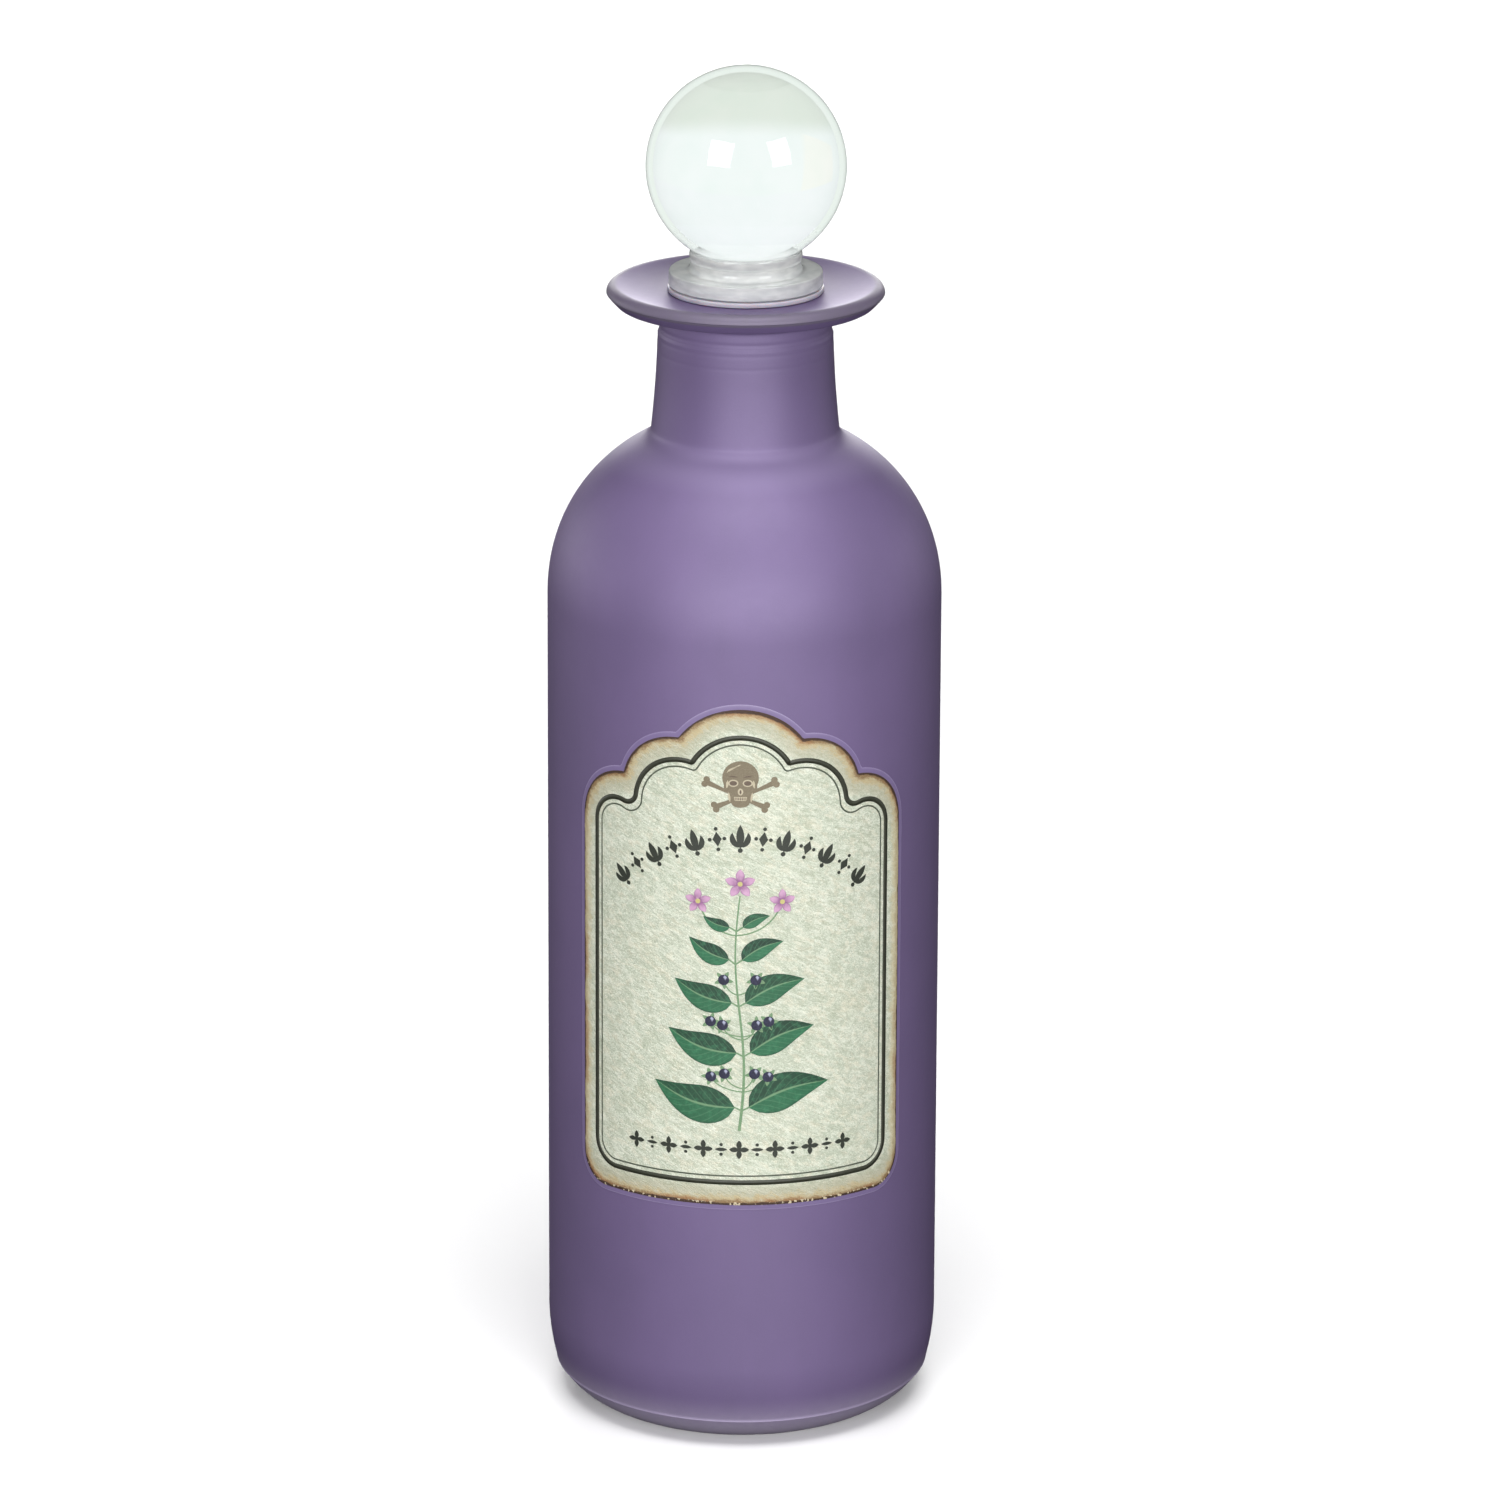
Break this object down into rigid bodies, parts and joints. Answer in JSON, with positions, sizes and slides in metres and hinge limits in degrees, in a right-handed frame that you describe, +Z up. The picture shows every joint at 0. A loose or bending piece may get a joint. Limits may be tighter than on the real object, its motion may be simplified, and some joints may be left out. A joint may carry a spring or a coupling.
{
  "type": "stoppered bottle",
  "caption": "Tall round glass potion bottle with a satin purple lacquer, a scalloped wrap label and a lift-out clear ball stopper in a soft seal.",
  "frame": {"origin": "centre of the base, on the surface the bottle stands on", "axes": "+Z up along the bottle's axis, -Y out of the middle of the label, +X to the right of someone who looks at the label"},
  "size_m": [0.0806, 0.0811, 0.2798],
  "materials": {
    "lacquered_glass": "satin purple lacquer sprayed over clear glass, opaque",
    "label_film": "clear self-adhesive film over the lacquer",
    "label_paper": "aged pale green paper look with a scorched edge",
    "soft_seal": "soft translucent seal",
    "clear_acrylic": "water-clear, polished"
  },
  "bodies": {
    "bottle": {"glass_bottle": "lacquered_glass", "label_film": "label_film", "label_paper": "label_paper"},
    "seal": {"seal_sleeve": "soft_seal"},
    "stopper": {"stopper_plug": "clear_acrylic", "stopper_ball": "clear_acrylic"}
  },
  "joints": [
    {"name": "stopper_lift", "type": "slide", "parent": "bottle", "child": "seal", "axis": [0, 0, 1], "range_m": [0, 0.045]},
    {"name": "knob_turn", "type": "hinge", "parent": "seal", "child": "stopper", "pos_m": [0, 0, 0.2598], "axis": [0, 0, 1], "continuous": true}
  ]
}
